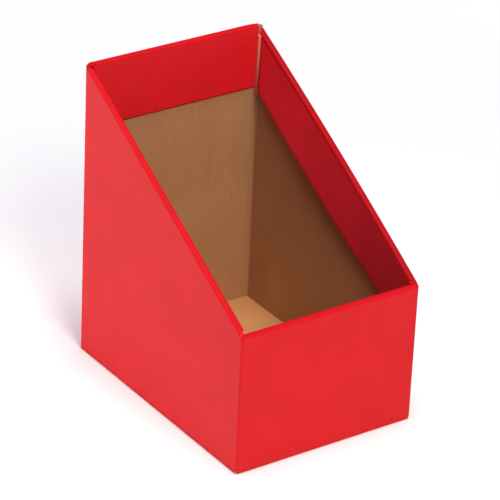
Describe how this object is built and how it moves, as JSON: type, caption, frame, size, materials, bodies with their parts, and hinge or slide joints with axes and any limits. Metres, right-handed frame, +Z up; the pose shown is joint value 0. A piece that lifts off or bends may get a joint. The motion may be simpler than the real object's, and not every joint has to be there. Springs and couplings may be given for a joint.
{
  "type": "classroom book box",
  "caption": "Open folded corrugated-board bin for books, with a tall back, sloping sides, a low front, folded-in rims and a fold-up base.",
  "frame": {"origin": "on the ground under the middle of the box, the bottom centre of its bounding box", "axes": "+X to the box's right seen from the front, +Y from the low front to the tall back, +Z up"},
  "size_m": [0.18, 0.246, 0.277],
  "materials": {
    "printed_board": "satin red print on corrugated board",
    "plain_board": "matt unbleached kraft corrugated board"
  },
  "bodies": {
    "shell": {"back_panel": "printed_board", "front_panel": "printed_board", "left_side_panel": "printed_board", "right_side_panel": "printed_board", "glue_tab": "plain_board"},
    "back_rim": {"back_rim_strip": "printed_board"},
    "back_flap": {"back_rim_flap": "printed_board"},
    "front_rim": {"front_rim_strip": "printed_board"},
    "front_flap": {"front_rim_flap": "printed_board"},
    "left_rim": {"left_rim_strip": "printed_board"},
    "left_flap": {"left_rim_flap": "printed_board"},
    "right_rim": {"right_rim_strip": "printed_board"},
    "right_flap": {"right_rim_flap": "printed_board"},
    "base": {"base_flap": "plain_board", "base_tuck_tab": "plain_board"},
    "left_dust": {"left_dust_flap": "plain_board"},
    "right_dust": {"right_dust_flap": "plain_board"}
  },
  "joints": [
    {"name": "back_rim_crease", "type": "hinge", "parent": "shell", "child": "back_rim", "pos_m": [0, 0.123, 0.277], "axis": [-1, 0, 0], "range_deg": [0, 90]},
    {"name": "back_flap_crease", "type": "hinge", "parent": "back_rim", "child": "back_flap", "pos_m": [0, 0.1167, 0.277], "axis": [-1, 0, 0], "range_deg": [0, 90]},
    {"name": "front_rim_crease", "type": "hinge", "parent": "shell", "child": "front_rim", "pos_m": [0, -0.123, 0.1304], "axis": [1, 0, 0], "range_deg": [0, 90]},
    {"name": "front_flap_crease", "type": "hinge", "parent": "front_rim", "child": "front_flap", "pos_m": [0, -0.1167, 0.1304], "axis": [1, 0, 0], "range_deg": [0, 90]},
    {"name": "left_rim_crease", "type": "hinge", "parent": "shell", "child": "left_rim", "pos_m": [-0.09, 0, 0.2028], "axis": [0, -0.8618, -0.5073], "range_deg": [0, 90]},
    {"name": "left_flap_crease", "type": "hinge", "parent": "left_rim", "child": "left_flap", "pos_m": [-0.0837, 0, 0.2028], "axis": [0, -0.8618, -0.5073], "range_deg": [0, 90]},
    {"name": "right_rim_crease", "type": "hinge", "parent": "shell", "child": "right_rim", "pos_m": [0.09, 0, 0.2028], "axis": [0, 0.8618, 0.5073], "range_deg": [0, 90]},
    {"name": "right_flap_crease", "type": "hinge", "parent": "right_rim", "child": "right_flap", "pos_m": [0.0837, 0, 0.2028], "axis": [0, 0.8618, 0.5073], "range_deg": [0, 90]},
    {"name": "base_crease", "type": "hinge", "parent": "shell", "child": "base", "pos_m": [0, -0.123, 0], "axis": [-1, 0, 0], "range_deg": [0, 90]},
    {"name": "left_dust_crease", "type": "hinge", "parent": "shell", "child": "left_dust", "pos_m": [-0.087, 0, 0.0033], "axis": [0, 1, 0], "range_deg": [0, 90]},
    {"name": "right_dust_crease", "type": "hinge", "parent": "shell", "child": "right_dust", "pos_m": [0.087, 0, 0.0033], "axis": [0, -1, 0], "range_deg": [0, 90]}
  ],
  "couplings": [
    {"joint": "left_dust_crease", "follows": "base_crease", "ratio": 1},
    {"joint": "right_dust_crease", "follows": "base_crease", "ratio": 1}
  ]
}
